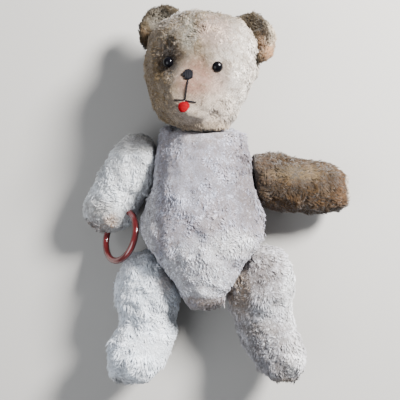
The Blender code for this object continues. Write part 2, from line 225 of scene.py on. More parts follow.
def swollen(obj):
    """The stuffing pushes the cover out a little, as far as the limit."""
    before = coordinates(obj.data)
    cloth = obj.modifiers.new("stuffing pressure", "CLOTH")
    settings = cloth.settings
    settings.use_pressure = True
    settings.uniform_pressure_force = PRESSURE
    settings.quality = 4
    settings.effector_weights.gravity = 0
    cloth.point_cache.frame_start = 1
    cloth.point_cache.frame_end = SWELL_STEPS
    scene = bpy.context.scene
    for step in range(1, SWELL_STEPS + 1):
        scene.frame_set(step)
    applied(obj)
    scene.frame_set(1)
    moved = np.nan_to_num(coordinates(obj.data) - before)
    length = np.linalg.norm(moved, axis=1, keepdims=True)
    limited = moved * np.minimum(1.0, SWELL_LIMIT / np.maximum(length, 1e-9))
    set_coordinates(obj.data, before + limited)
    return obj


def keep_off_joints(points, body):
    """Presses a cover flat where it meets its neighbour across a joint."""
    for name, radius in RECESS.items():
        joint = JOINTS[f"{name}_turn"]
        if body not in (joint["parent"], joint["child"]):
            continue
        at = np.array(joint["pos_m"])
        axis = np.array(joint["axis"])
        if joint["child"] == "left_leg":
            axis = -axis  # this one axis points into the torso
        height = (points - at) @ axis
        spread = np.linalg.norm(points - at - height[:, None] * axis, axis=1)
        if body == joint["child"]:
            over = JOINT_CLEARANCE - height
            touching = over > 0
        else:
            over = height + JOINT_CLEARANCE
            touching = (over > 0) & (over < RECESS_DEPTH) & (spread < radius)
            over = -over
        points[touching] += (over[:, None] * axis)[touching]
    return points


def skin(name, body, cover, filling, material, sculpt=None):
    """A stuffed plush cover: remade evenly, swollen by its stuffing and pressed flat at its joints."""
    obj = remade(name, mesh_from(outer_skin(cover, filling), name), VOXEL, COVER_ROUNDS)
    swollen(obj)
    points = coordinates(obj.data)
    if sculpt:
        points = sculpt(points, normals_of(obj.data))
    points = lumpy(points, normals_of(obj.data))
    points = keep_off_joints(points, body)
    points[:, 2] = np.maximum(points[:, 2], COVER_FLOOR)
    set_coordinates(obj.data, points)
    finished = obj.data
    bpy.data.objects.remove(obj)
    obj = piece(name, finished, body, material)
    subdivision = obj.modifiers.new("smooth", "SUBSURF")
    subdivision.levels = subdivision.render_levels = 1
    applied(obj)
    obj.data.shade_smooth()
    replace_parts(obj, cover, filling[0])
    return obj


def lumps(points, across, height, seed):
    return (soft_noise(points, across, seed) - 0.5) * height


def lumpy(points, normals):
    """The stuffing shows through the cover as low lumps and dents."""
    risen = lumps(points, *BROAD_LUMPS) + lumps(points, *FINE_LUMPS)
    return points + normals * (risen - PILE_ALLOWANCE)[:, None]


def relax(mesh, rounds):
    """Evens a cover out where panels meet at hard edges."""
    bm = bmesh.new()
    bm.from_mesh(mesh)
    for _ in range(rounds):
        bmesh.ops.smooth_vert(
            bm, verts=bm.verts, factor=0.5, use_axis_x=True, use_axis_y=True, use_axis_z=True
        )
    bm.to_mesh(mesh)
    bm.free()


# ---------------------------------------------------------------- plush pile

# Pile is left out closer than BARE_GAP to a neighbour and is full length FREE_GAP beyond that
NEIGHBOUR_REACH = 0.012
BARE_GAP = 0.0005
FREE_GAP = 0.0045
SHORTEST_SHARE = 0.16

# How unevenly the pile grows: (size across, least, range) of its length, and its matting
LENGTH_DRIFT = (0.006, 0.45, 0.95)
SWIRL_ACROSS = 0.007
SWIRL = 2.2
STRAYING = 0.25
TONE_ACROSS = 0.005

# How deep a lock's root sits, how flat it is, and how far its shading follows the cover
ROOT_DEPTH = 0.0004
FLATNESS = 0.6
SURFACE_SHARE = 1.5


def lock_shape():
    """One lock of pile: a short three-sided tuft with its tip one unit above its root."""
    bm = bmesh.new()
    raised = Matrix.Translation((0, 0, 0.25))
    bmesh.ops.create_cone(
        bm, cap_ends=True, segments=3, radius1=0.5, radius2=0.42, depth=0.5, matrix=raised
    )
    top = max(bm.faces, key=lambda face: face.calc_center_median().z)
    bmesh.ops.poke(bm, faces=[top], offset=0.5)
    bm.verts.ensure_lookup_table()
    points = np.array([vert.co for vert in bm.verts])
    faces = [[vert.index for vert in face.verts] for face in bm.faces]
    bm.free()
    return points, faces


LOCK_POINTS, LOCK_FACES = lock_shape()


def soft_noise(points, scale, seed):
    """A smooth value from 0 to 1 that drifts over the cover."""
    rng = np.random.default_rng(seed)
    value = np.zeros(len(points))
    for octave in range(3):
        waves = rng.normal(size=(6, 3)) * (2 ** octave) / scale
        phases = rng.uniform(0, 2 * math.pi, 6)
        value += np.sin(points @ waves.T + phases).mean(axis=1) / (1.5 ** octave)
    return np.clip(0.5 + value * 0.9, 0, 1)


def sampled(mesh, count, rng):
    """Even random places on a cover, with their outward normals."""
    mesh.calc_loop_triangles()
    corners = np.empty(len(mesh.loop_triangles) * 3, np.int32)
    mesh.loop_triangles.foreach_get("vertices", corners)
    corners = corners.reshape(-1, 3)
    points = coordinates(mesh)
    normals = normals_of(mesh)
    a, b, c = points[corners[:, 0]], points[corners[:, 1]], points[corners[:, 2]]
    area = np.linalg.norm(np.cross(b - a, c - a), axis=1)
    chosen = rng.choice(len(corners), size=count, p=area / area.sum())
    u = rng.random(count)
    v = rng.random(count)
    fold = u + v > 1
    u[fold], v[fold] = 1 - u[fold], 1 - v[fold]
    w = 1 - u - v
    spots = a[chosen] * w[:, None] + b[chosen] * u[:, None] + c[chosen] * v[:, None]
    tri = corners[chosen]
    shares = zip((w, u, v), (tri[:, 0], tri[:, 1], tri[:, 2]))
    facing = sum(normals[corner] * share[:, None] for share, corner in shares)
    return spots, unit(facing)


def clearance_from(trees, spots):
    """How far each place is from the nearest neighbouring part."""
    gaps = np.full(len(spots), 1.0)
    for tree in trees:
        for i, spot in enumerate(spots):
            found = tree.find_nearest(spot, NEIGHBOUR_REACH)
            if found[0] is not None:
                gaps[i] = min(gaps[i], found[3])
    return gaps


def locks_mesh(name, points, total):
    """All the locks of one pile as one mesh."""
    per_lock = len(LOCK_POINTS)
    counts = [len(face) for face in LOCK_FACES]
    corners = np.concatenate(LOCK_FACES)
    corners = (corners[None, :] + per_lock * np.arange(total)[:, None]).ravel()
    sizes = np.tile(counts, total)
    starts = np.concatenate([[0], np.cumsum(sizes)[:-1]])
    mesh = bpy.data.meshes.new(name)
    mesh.vertices.add(len(points))
    mesh.vertices.foreach_set("co", points.astype(np.float32).ravel())
    mesh.loops.add(len(corners))
    mesh.loops.foreach_set("vertex_index", corners.astype(np.int32))
    mesh.polygons.add(len(sizes))
    mesh.polygons.foreach_set("loop_start", starts.astype(np.int32))
    mesh.update(calc_edges=True)
    return mesh


def point_value(mesh, name, values):
    """A number at every point, which the pile's finish reads."""
    attribute = mesh.attributes.new(name, "FLOAT", "POINT")
    attribute.data.foreach_set("value", values.astype(np.float32))


def pile(name, body, cover, material, count, nap, length, width, neighbours, wear, lift, seed):
    """Locks of pile lying along the nap, shorter where worn or pressed by a neighbour."""
    rng = np.random.default_rng(SEED + seed)
    spots, facing = sampled(cover.data, count, rng)
    gaps = clearance_from(neighbours, spots)
    across, least, spread = LENGTH_DRIFT
    size = np.clip((gaps - BARE_GAP) / FREE_GAP, 0, 1)
    size *= least + spread * soft_noise(spots, across, seed + 1)
    if wear:
        size *= wear(spots)
    kept = size > SHORTEST_SHARE
    spots, facing, size = spots[kept], facing[kept], size[kept]
    total = len(spots)

    swirl = [soft_noise(spots, SWIRL_ACROSS, seed + 2 + i) - 0.5 for i in range(3)]
    along = nap(spots) + SWIRL * np.stack(swirl, axis=1) + STRAYING * rng.normal(size=(total, 3))
    along -= facing * np.sum(along * facing, axis=1, keepdims=True)
    along = unit(along, 1e-9)
    side = np.cross(facing, along)
    reach = (length * size * rng.uniform(0.75, 1.25, total))[:, None, None]
    breadth = (width * rng.uniform(0.7, 1.3, total))[:, None, None]
    raise_by = (lift * rng.uniform(0.6, 1.5, total))[:, None, None]

    x, y, t = (LOCK_POINTS[None, :, i : i + 1] for i in range(3))
    root = (spots - facing * ROOT_DEPTH)[:, None, :]
    along3, facing3, side3 = along[:, None, :], facing[:, None, :], side[:, None, :]
    spine = root + reach * (along3 * t + facing3 * raise_by * t * (1.6 - 0.75 * t))
    points = spine + breadth * (side3 * x + facing3 * y * FLATNESS)
    points = points.reshape(-1, 3)
    points[:, 2] = np.maximum(points[:, 2], PILE_FLOOR)

    mesh = locks_mesh(name, points, total)
    point_value(mesh, "depth", np.tile(LOCK_POINTS[:, 2], total))
    tones = 0.9 * soft_noise(spots, TONE_ACROSS, seed + 7) + rng.normal(0.05, 0.16, total)
    point_value(mesh, "tone", np.repeat(np.clip(tones, 0, 1), len(LOCK_POINTS)))
    obj = piece(name, mesh, body, material)
    soft = np.repeat(facing, len(LOCK_POINTS), axis=0) * SURFACE_SHARE + normals_of(mesh)
    mesh.normals_split_custom_set_from_vertices(unit(soft).tolist())
    return obj


# ---------------------------------------------------------------- finishes


def nodes_of(material):
    material.use_nodes = True
    tree = material.node_tree
    return tree, tree.nodes["Principled BSDF"]


def group_tree(name, inputs, outputs):
    """A node group with its sockets. Gives the tree, its input node and its output node."""
    tree = bpy.data.node_groups.new(name, "ShaderNodeTree")
    for side, sockets in (("INPUT", inputs), ("OUTPUT", outputs)):
        for socket, kind in sockets.items():
            tree.interface.new_socket(socket, in_out=side, socket_type=f"NodeSocket{kind}")
    return tree, tree.nodes.new("NodeGroupInput"), tree.nodes.new("NodeGroupOutput")


def vector_node(tree, operation, *values):
    node = tree.nodes.new("ShaderNodeVectorMath")
    node.operation = operation
    for i, value in enumerate(values):
        tree.links.new(value, node.inputs[i])
    return node.outputs["Value" if operation == "LENGTH" else "Vector"]


def math_node(tree, operation, a, b=None, clamp=False):
    node = tree.nodes.new("ShaderNodeMath")
    node.operation = operation
    node.use_clamp = clamp
    for i, value in enumerate((a, b)):
        if value is None:
            continue
        if isinstance(value, (int, float)):
            node.inputs[i].default_value = value
        else:
            tree.links.new(value, node.inputs[i])
    return node.outputs[0]


def noise_node(tree, vector, scale, detail=3.0, rough=0.55):
    node = tree.nodes.new("ShaderNodeTexNoise")
    node.inputs["Scale"].default_value = scale
    node.inputs["Detail"].default_value = detail
    node.inputs["Roughness"].default_value = rough
    tree.links.new(vector, node.inputs["Vector"])
    return node.outputs["Fac"]


def ramp(tree, value, low, high, to_low=0.0, to_high=1.0):
    """Eases a value from one range into another."""
    node = tree.nodes.new("ShaderNodeMapRange")
    node.interpolation_type = "SMOOTHSTEP"
    limits = {"From Min": low, "From Max": high, "To Min": to_low, "To Max": to_high}
    for name, number in limits.items():
        node.inputs[name].default_value = number
    tree.links.new(value, node.inputs["Value"])
    return node.outputs["Result"]


def mixed(tree, mask, under, over):
    """One colour over another, as far as the mask."""
    node = tree.nodes.new("ShaderNodeMix")
    node.data_type = "RGBA"
    for name, value in (("Factor", mask), ("A", under), ("B", over)):
        entry = [s for s in node.inputs if s.name == name and s.enabled][0]
        if isinstance(value, (int, float)):
            entry.default_value = value
        elif isinstance(value, tuple):
            entry.default_value = (*value, 1.0)
        else:
            tree.links.new(value, entry)
    return [s for s in node.outputs if s.enabled][0]


def stain_and_light_patch_group():
    """A ragged round patch, as a mask, used both for soiling and wear and for painted light and
    painted shade.
    """
    sockets = {"Position": "Vector", "Centre": "Vector", "Reach": "Vector", "Ragged": "Float"}
    tree, inside, outside = group_tree("stain", sockets, {"Mask": "Float"})
    away = vector_node(tree, "SUBTRACT", inside.outputs["Position"], inside.outputs["Centre"])
    share = vector_node(tree, "DIVIDE", away, inside.outputs["Reach"])
    rough = noise_node(tree, inside.outputs["Position"], 160, 4.0, 0.65)
    rough = math_node(tree, "SUBTRACT", rough, 0.5)
    rough = math_node(tree, "MULTIPLY", rough, inside.outputs["Ragged"])
    edge = math_node(tree, "ADD", vector_node(tree, "LENGTH", share), rough)
    tree.links.new(ramp(tree, edge, 1.25, 0.45), outside.inputs["Mask"])
    return tree


def streak_group():
    """Fine light and dark streaks that run along the nap, and small flecks, as two masks."""
    sockets = {"Position": "Vector", "Stretch": "Vector"}
    masks = {"Streaks": "Float", "Flecks": "Float"}
    tree, inside, outside = group_tree("nap streaks", sockets, masks)
    drawn = vector_node(tree, "MULTIPLY", inside.outputs["Position"], inside.outputs["Stretch"])
    streaks = noise_node(tree, drawn, 260, 4.0, 0.6)
    flecks = noise_node(tree, drawn, 520, 2.0, 0.5)
    tree.links.new(ramp(tree, streaks, 0.36, 0.66), outside.inputs["Streaks"])
    tree.links.new(ramp(tree, flecks, 0.60, 0.72), outside.inputs["Flecks"])
    return tree


def weave_group():
    """The backing cloth of the plush: two crossing sets of threads, as a height."""
    sockets = {"Position": "Vector", "Threads": "Float"}
    tree, inside, outside = group_tree("backing weave", sockets, {"Height": "Float"})
    apart = tree.nodes.new("ShaderNodeSeparateXYZ")
    tree.links.new(inside.outputs["Position"], apart.inputs[0])
    heights = []
    for axis in ("X", "Y"):
        turned = math_node(tree, "MULTIPLY", apart.outputs[axis], inside.outputs["Threads"])
        heights.append(math_node(tree, "SINE", turned))
    crossing = math_node(tree, "MULTIPLY", *heights)
    tree.links.new(ramp(tree, crossing, -1.0, 1.0), outside.inputs["Height"])
    return tree


STAIN_AND_LIGHT_PATCH = stain_and_light_patch_group()
STREAKS = streak_group()
WEAVE = weave_group()
MM = 0.001

# How closely the backing is woven, how the nap draws streaks out, and how plush takes light
THREADS = 5200.0
NAP_STRETCH = (1.0, 0.28, 1.0)
PLUSH_SURFACE = {
    "Roughness": 0.92,
    "Sheen Weight": 0.25,
    "Sheen Roughness": 0.45,
    "Specular IOR Level": 0.15,
}


def group_node(tree, group, **values):
    node = tree.nodes.new("ShaderNodeGroup")
    node.node_tree = group
    for name, value in values.items():
        entry = node.inputs[name]
        if isinstance(value, bpy.types.NodeSocket):
            tree.links.new(value, entry)
        else:
            entry.default_value = value
    return node


def blend(first, second, share):
    """A colour part of the way from one to another."""
    return tuple(a + (b - a) * share for a, b in zip(first, second))


def lighter(colour, lift, gain):
    return tuple(min(0.9, lift + gain * channel) for channel in colour)


def scaled(colour, share):
    return tuple(channel * share for channel in colour)


def patches(tree, position, scale, detail, rough, low, high, strength):
    """Scattered soft patches, as a mask."""
    return ramp(tree, noise_node(tree, position, scale, detail, rough), low, high, 0.0, strength)


def with_patches(tree, position, colour, marks):
    """Lays each mark over the colour: soiling and wear, and patches of painted light and painted
    shade.
    """
    for centre, reach, patch_colour, strength, ragged in marks:
        patch = group_node(
            tree,
            STAIN_AND_LIGHT_PATCH,
            Position=position,
            Centre=scaled(centre, MM),
            Reach=scaled(reach, MM),
            Ragged=ragged,
        )
        mask = math_node(tree, "MULTIPLY", patch.outputs["Mask"], strength)
        broken = ramp(tree, noise_node(tree, position, 420, 2.0), 0.3, 0.6, 0.72, 1.0)
        mask = math_node(tree, "MULTIPLY", mask, broken)
        colour = mixed(tree, mask, colour, patch_colour)
    return colour


def lock_shade(tree, colour, fleck):
    """Paints shade at the roots of the locks, and darkens some locks more than others at random."""
    values = {}
    for name in ("depth", "tone"):
        node = tree.nodes.new("ShaderNodeAttribute")
        node.attribute_name = name
        values[name] = node.outputs["Fac"]
    # painted shade: each lock darker towards its root
    shade = ramp(tree, values["depth"], 0.0, 0.7, 0.55, 0.0)
    darker = math_node(tree, "MULTIPLY", math_node(tree, "SUBTRACT", 1.0, values["tone"]), 0.5)
    shade = math_node(tree, "ADD", shade, darker, clamp=True)
    return mixed(tree, math_node(tree, "MULTIPLY", shade, 0.85), colour, scaled(fleck, 0.40))


def cloth_shade(tree, shader, position, colour, fleck):
    """Paints shade into the gaps of the backing cloth and its low fuzz, and raises its threads."""
    weave = group_node(tree, WEAVE, Position=position, Threads=THREADS).outputs["Height"]
    fuzz = noise_node(tree, position, 900, 3.0, 0.7)
    height = math_node(tree, "ADD", math_node(tree, "MULTIPLY", weave, 0.8), fuzz)
    raised(tree, shader, height, 0.9, 0.0010)
    # painted shade in the gaps between threads and in the low places of the fuzz
    gaps = ramp(tree, weave, 0.2, 0.8, 0.75, 0.0)
    gaps = math_node(tree, "ADD", gaps, ramp(tree, fuzz, 0.3, 0.7, 0.35, 0.0), clamp=True)
    return mixed(tree, gaps, colour, scaled(fleck, 0.6))


def raised(tree, shader, height, strength, distance):
    """Gives a finish its fine relief."""
    node = tree.nodes.new("ShaderNodeBump")
    node.inputs["Strength"].default_value = strength
    node.inputs["Distance"].default_value = distance
    tree.links.new(height, node.inputs["Height"])
    tree.links.new(node.outputs["Normal"], shader.inputs["Normal"])


def plush_material(name, base, streak, fleck, marks, locks):
    """Worn plush, with painted shade at the roots of its locks, or for the backing in the gaps of its
    weave. Each mark is (centre mm, reach mm, colour, strength, raggedness).
    """
    material = bpy.data.materials.new(name)
    tree, shader = nodes_of(material)
    position = tree.nodes.new("ShaderNodeTexCoord").outputs["Object"]
    nap = group_node(tree, STREAKS, Position=position, Stretch=NAP_STRETCH)
    colour = mixed(tree, nap.outputs["Streaks"], base, streak)
    blotches = patches(tree, position, 62, 4.0, 0.68, 0.50, 0.62, 0.42)
    colour = mixed(tree, blotches, colour, blend(streak, fleck, 1 / 2))
    colour = with_patches(tree, position, colour, marks)
    pale = patches(tree, position, 85, 3.0, 0.62, 0.56, 0.66, 0.35)
    colour = mixed(tree, pale, colour, lighter(base, 0.05, 1.5))
    matted = patches(tree, position, 230, 4.0, 0.65, 0.52, 0.64, 0.50)
    colour = mixed(tree, matted, colour, blend(streak, fleck, 2 / 3))
    tufted = patches(tree, position, 300, 3.0, 0.6, 0.56, 0.66, 0.45)
    colour = mixed(tree, tufted, colour, lighter(base, 0.08, 1.6))
    flecked = math_node(tree, "MULTIPLY", nap.outputs["Flecks"], 0.55)
    colour = mixed(tree, flecked, colour, fleck)
    if locks:
        colour = lock_shade(tree, colour, fleck)
    else:
        colour = cloth_shade(tree, shader, position, colour, fleck)
    tree.links.new(colour, shader.inputs["Base Color"])
    for entry, value in PLUSH_SURFACE.items():
        shader.inputs[entry].default_value = value
    return material


WHITE = (0.86, 0.88, 0.90)
# cream, used as a painted highlight on the end of the left arm
CREAM_HIGHLIGHT = (0.62, 0.55, 0.47)
GREY_GREEN = (0.045, 0.042, 0.022)
# near black, used as painted shade deep in the right eye's socket
EYE_SOCKET_SHADE = (0.008, 0.004, 0.002)
PINK = (0.36, 0.180, 0.130)

# Soiling and wear, and patches of painted light and painted shade, in millimetres: (centre, reach,
# colour, strength, raggedness)
TORSO_STAINS_LIGHT_AND_SHADE = (
    ((-4, -66, 85), (38, 34, 60), (0.84, 0.87, 0.93), 0.95, 0.9),
    ((28, -38, 80), (26, 14, 40), WHITE, 0.85, 0.9),
    # painted light: the torso's right side lit
    ((-50, -20, 50), (18, 70, 50), (0.80, 0.81, 0.85), 0.85, 0.9),
    # painted shade where the torso meets the left arm
    ((43, 16, 64), (17, 50, 44), (0.045, 0.037, 0.045), 0.85, 1.2),
    ((-5, 58, 80), (40, 12, 30), (0.34, 0.31, 0.31), 0.6, 1.2),
    ((-14, 10, 90), (24, 30, 30), (0.46, 0.49, 0.60), 0.55, 1.3),
    ((10, -20, 94), (13, 9, 20), (0.40, 0.36, 0.36), 0.55, 1.5),
    # the next two: painted shade between the legs at the bottom of the torso
    ((5, -90, 66), (26, 7, 40), (0.10, 0.058, 0.028), 0.85, 1.4),
    ((3, -100, 40), (40, 8, 44), (0.09, 0.052, 0.022), 0.9, 1.2),
)
HEAD_STAINS_LIGHT_AND_SHADE = (
    # painted light: the left side of the head lit
    ((32, 112, 84), (25, 52, 56), (0.90, 0.84, 0.76), 0.95, 0.9),
    ((8, 78, 100), (34, 20, 40), (0.80, 0.68, 0.57), 0.8, 1.0),
    # painted shade: the right side of the head in shadow
    ((-40, 98, 72), (24, 52, 60), (0.19, 0.13, 0.06), 0.9, 0.8),
    ((-12, 138, 98), (26, 20, 34), GREY_GREEN, 0.85, 0.9),
    ((2, 158, 76), (40, 19, 44), (0.045, 0.034, 0.016), 0.9, 1.3),
    ((14, 142, 96), (17, 20, 26), (0.44, 0.32, 0.27), 0.75, 1.2),
    # painted highlight: a pale streak up the nose bridge and brow
    ((-9, 136, 100), (7, 22, 26), (0.44, 0.43, 0.37), 0.45, 2.0),
    ((14, 99, 104), (15, 13, 24), (0.50, 0.33, 0.27), 0.7, 0.9),
    ((-4, 100, 108), (17, 20, 24), PINK, 0.9, 0.6),
    # the next two: painted shade in the right eye's socket
    ((-29, 121, 94), (15, 17, 22), (0.026, 0.014, 0.006), 1.0, 0.8),
    ((-27, 117, 94), (11, 11.5, 16), EYE_SOCKET_SHADE, 1.0, 0.5),
    # painted shade in the hollow around the left eye
    ((22, 112, 98), (6.5, 6.5, 12), (0.20, 0.14, 0.10), 0.7, 0.6),
    ((14, 62, 80), (34, 6, 44), (0.34, 0.26, 0.18), 0.6, 1.1),
)
LEFT_ARM_STAINS_AND_HIGHLIGHT = (
    ((58, 28, 60), (15, 16, 30), (0.075, 0.050, 0.034), 0.8, 1.0),
    ((92, -2, 34), (54, 10, 34), (0.075, 0.036, 0.010), 0.9, 1.0),
    ((88, 24, 50), (38, 8, 24), (0.135, 0.100, 0.055), 0.6, 1.5),
    ((132, 8, 36), (12, 22, 24), (0.135, 0.070, 0.034), 0.5, 1.0),
    ((114, 20, 46), (9, 12, 20), (0.06, 0.035, 0.018), 0.6, 1.3),
    # painted highlight on the end of the arm
    ((137, 16, 40), (4, 16, 24), CREAM_HIGHLIGHT, 0.7, 1.0),
)
RIGHT_ARM_STAINS_AND_HIGHLIGHT = (
    ((-60, 52, 56), (24, 11, 34), (0.46, 0.42, 0.38), 0.75, 1.1),
    ((-88, 18, 40), (10, 24, 30), (0.62, 0.66, 0.70), 0.5, 1.0),
    ((-92, -9, 36), (18, 12, 34), (0.20, 0.165, 0.125), 0.8, 1.3),
    ((-94, -25, 28), (24, 11, 30), (0.085, 0.036, 0.010), 0.95, 1.0),
    # painted highlight: orange glint on the paw beside the ring
    ((-80, -18, 38), (8, 7, 26), (0.60, 0.36, 0.20), 0.7, 1.0),
)
LEFT_LEG_STAINS_LIGHT_AND_SHADE = (
    ((46, -64, 70), (22, 24, 34), (0.075, 0.060, 0.060), 0.8, 1.5),
    # painted shade on the inner side, between the legs
    ((34, -84, 60), (12, 26, 34), (0.28, 0.20, 0.13), 0.8, 1.1),
    # painted light: the outer side of the thigh lit
    ((86, -84, 50), (15, 36, 44), WHITE, 1.0, 0.6),
    ((62, -100, 66), (18, 14, 30), (0.70, 0.72, 0.76), 0.7, 1.2),
    ((54, -116, 56), (22, 8, 30), (0.13, 0.11, 0.09), 0.55, 1.6),
    ((58, -136, 66), (18, 22, 44), (0.085, 0.090, 0.105), 0.7, 1.7),
    # painted light: the outer side of the calf and foot lit
    ((84, -140, 60), (10, 22, 34), (0.80, 0.80, 0.80), 0.8, 1.0),
    ((78, -164, 60), (15, 7, 34), (0.13, 0.09, 0.05), 0.8, 1.2),
)
RIGHT_LEG_STAINS = (
    ((-60, -54, 64), (22, 10, 34), (0.66, 0.68, 0.74), 0.5, 1.2),
    ((-70, -120, 50), (10, 12, 34), (0.44, 0.47, 0.52), 0.6, 1.3),
    ((-72, -140, 64), (16, 16, 30), (0.52, 0.58, 0.66), 0.6, 1.2),
    ((-30, -70, 66), (8, 20, 20), (0.60, 0.46, 0.37), 0.6, 1.2),
    ((-74, -163, 60), (16, 7, 30), (0.36, 0.33, 0.30), 0.6, 1.2),
)
EAR_STAINS = (
    ((-38, 162, 48), (11, 11, 14), (0.22, 0.20, 0.165), 0.7, 2.0),
    ((-52, 146, 46), (12, 12, 18), (0.10, 0.060, 0.028), 0.8, 1.0),
    ((62, 134, 58), (14, 18, 30), (0.34, 0.19, 0.10), 0.85, 0.9),
    ((64, 150, 66), (9, 18, 24), (0.50, 0.42, 0.32), 0.9, 1.4),
)

# The colours of each coat: base, streak and fleck
COATS = {
    "torso": ((0.36, 0.38, 0.47), (0.31, 0.295, 0.34), (0.20, 0.155, 0.14)),
    "head": ((0.34, 0.265, 0.19), (0.235, 0.172, 0.105), (0.070, 0.040, 0.016)),
    "left_arm": ((0.058, 0.033, 0.013), (0.032, 0.018, 0.007), (0.014, 0.007, 0.003)),
    "right_arm": ((0.88, 0.92, 0.96), (0.80, 0.85, 0.90), (0.60, 0.59, 0.58)),
    "left_leg": ((0.50, 0.50, 0.54), (0.32, 0.305, 0.31), (0.14, 0.115, 0.10)),
    "right_leg": ((0.80, 0.88, 0.97), (0.86, 0.91, 0.97), (0.58, 0.60, 0.64)),
    "ears": ((0.046, 0.034, 0.019), (0.066, 0.049, 0.028), (0.020, 0.012, 0.005)),
}
STAINS_AND_PAINTED_LIGHT = {
    "torso": TORSO_STAINS_LIGHT_AND_SHADE,
    "head": HEAD_STAINS_LIGHT_AND_SHADE,
    "left_arm": LEFT_ARM_STAINS_AND_HIGHLIGHT,
    "right_arm": RIGHT_ARM_STAINS_AND_HIGHLIGHT,
    "left_leg": LEFT_LEG_STAINS_LIGHT_AND_SHADE,
    "right_leg": RIGHT_LEG_STAINS,
    "ears": EAR_STAINS,
}
SKINS = {}
PILES = {}
for coat, colours in COATS.items():
    SKINS[coat] = plush_material(f"{coat} backing", *colours, STAINS_AND_PAINTED_LIGHT[coat], locks=False)
    PILES[coat] = plush_material(f"{coat} pile", *colours, STAINS_AND_PAINTED_LIGHT[coat], locks=True)


def simple_material(name, colour, roughness, other=None, scale=600.0, bump=0.3, **inputs):
    """A finish with a fine drift of colour, roughness and height."""
    material = bpy.data.materials.new(name)
    tree, shader = nodes_of(material)
    position = tree.nodes.new("ShaderNodeTexCoord").outputs["Object"]
    grain = noise_node(tree, position, scale, 4.0, 0.6)
    drift = mixed(tree, ramp(tree, grain, 0.35, 0.65), colour, other or scaled(colour, 0.7))
    rough = ramp(tree, grain, 0.3, 0.7, roughness * 0.85, min(1.0, roughness * 1.15))
    tree.links.new(drift, shader.inputs["Base Color"])
    tree.links.new(rough, shader.inputs["Roughness"])
    raised(tree, shader, grain, bump, GRAIN_DEPTH)
    for entry, value in inputs.items():
        shader.inputs[entry.replace("_", " ")].default_value = value
    return material


GRAIN_DEPTH = 0.0002
GLASS = simple_material(
    "black glass", (0.002, 0.002, 0.003), 0.16, scale=90.0, bump=0.02, Specular_IOR_Level=0.18
)
THREAD = simple_material(
    "black thread", (0.007, 0.007, 0.010), 0.7, scale=1800.0, bump=0.6, Specular_IOR_Level=0.12
)
FELT = simple_material(
    "red felt",
    (0.24, 0.0004, 0.005),
    0.9,
    other=(0.15, 0.0003, 0.003),
    scale=1200.0,
    bump=0.8,
    Specular_IOR_Level=0.1,
)
RING = simple_material(
    "ring plastic",
    (0.13, 0.010, 0.012),
    0.18,
    other=(0.085, 0.008, 0.008),
    scale=60.0,
    bump=0.04,
    Coat_Weight=0.8,
    Coat_Roughness=0.08,
)
BOARD = simple_material("pressed fibreboard", (0.36, 0.24, 0.14), 0.85, scale=700.0, bump=0.6)
STEEL = simple_material(
    "dull steel", (0.52, 0.51, 0.49), 0.38, other=(0.40, 0.38, 0.35), scale=500.0, Metallic=1.0
)

for node_name, node_object in NODES.items():
    if node_name.endswith("_disc"):
        finish = BOARD
    elif node_name.endswith(("_washer", "_pin")):
        finish = STEEL
    else:
        continue
    node_object.data.materials.clear()
    node_object.data.materials.append(finish)


# ---------------------------------------------------------------- covers

# The hollow drawn in around each eye, as (radius, depth), and how sharply it falls away
EYE_HOLLOWS = {"left_eye": (0.011, 0.0012), "right_eye": (0.015, 0.0055)}
HOLLOW_FALL = 1.3
FACE_DEPTH = 0.02


def middle_of(node):
    low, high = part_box(node)
    return (low + high) / 2


def sink_eyes(points, normals):
    """Draws the cover in behind each eye."""
    for node, (radius, depth) in EYE_HOLLOWS.items():
        middle = np.array(middle_of(node))
        away = np.linalg.norm((points - middle)[:, :2], axis=1)
        front = points[:, 2] > middle[2] - FACE_DEPTH
        pull = np.clip(1 - away / radius, 0, 1) ** HOLLOW_FALL
        points = points - normals * (depth * pull * front)[:, None]
    return points


def filling_of(body):
    """The nodes that fill a body's cover."""
    joint = JOINT_OF_LIMB.get(body)
    if joint:
        return [f"{body}_stuffing", f"{joint}_limb_disc"]
    return ["torso_stuffing"] + [f"{joint}_torso_disc" for joint in JOINT_OF_LIMB.values()]


COVERS = {}
for body in ("torso", "head", "left_arm", "right_arm", "left_leg", "right_leg"):
    COVERS[body] = skin(
        f"{body}_plush",
        body,
        f"{body}_cover",
        filling_of(body),
        SKINS[body],
        sculpt=sink_eyes if body == "head" else None,
    )


def ear_piece(side):
    """A cupped ear, softened all over."""
    name = f"{side}_ear_plush"
    shape = mesh_from(merged_copy(f"{side}_ear"), name, recalculate=False)
    obj = remade(name, shape, EAR_VOXEL, EAR_ROUNDS)
    mesh = obj.data
    bpy.data.objects.remove(obj)
    ear = piece(name, mesh, "head", SKINS["ears"])
    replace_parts(ear, f"{side}_ear")
    return ear


EARS = {side: ear_piece(side) for side in ("left", "right")}


def cover_tree(obj):
    points = [tuple(p) for p in coordinates(obj.data)]
    faces = [tuple(face.vertices) for face in obj.data.polygons]
    return BVHTree.FromPolygons(points, faces)


TREES = {body: cover_tree(obj) for body, obj in COVERS.items()}
FACE_NODES = ("left_eye", "right_eye", "nose", "tongue", "philtrum_thread", "mouth_thread")
FACE_TREES = [tree_of(node) for node in FACE_NODES]
RING_TREE = tree_of("grip_ring")
NEAR_RING = ("right_arm", "right_leg", "torso")

# How far from the nose the muzzle is worn almost bare, how much of its pile is left there,
# and the height above which the front is worn thin
MUZZLE = 0.030
MUZZLE_LEAST = 0.10
HEAD_WORN_FROM = 0.070
BODY_WORN_FROM = 0.060
WORN_OVER = 0.03


def combed(direction):
    """A nap that runs one way over the whole piece."""
    return lambda spots: np.tile(np.array(direction, float), (len(spots), 1))


def head_nap(spots):
    """The pile falls away from the nose over the face and back over the crown."""
    away = spots - np.array(middle_of("nose"))
    away[:, 1] -= 0.010
    return unit(away, 1e-9) + np.array((0, -0.5, 0))


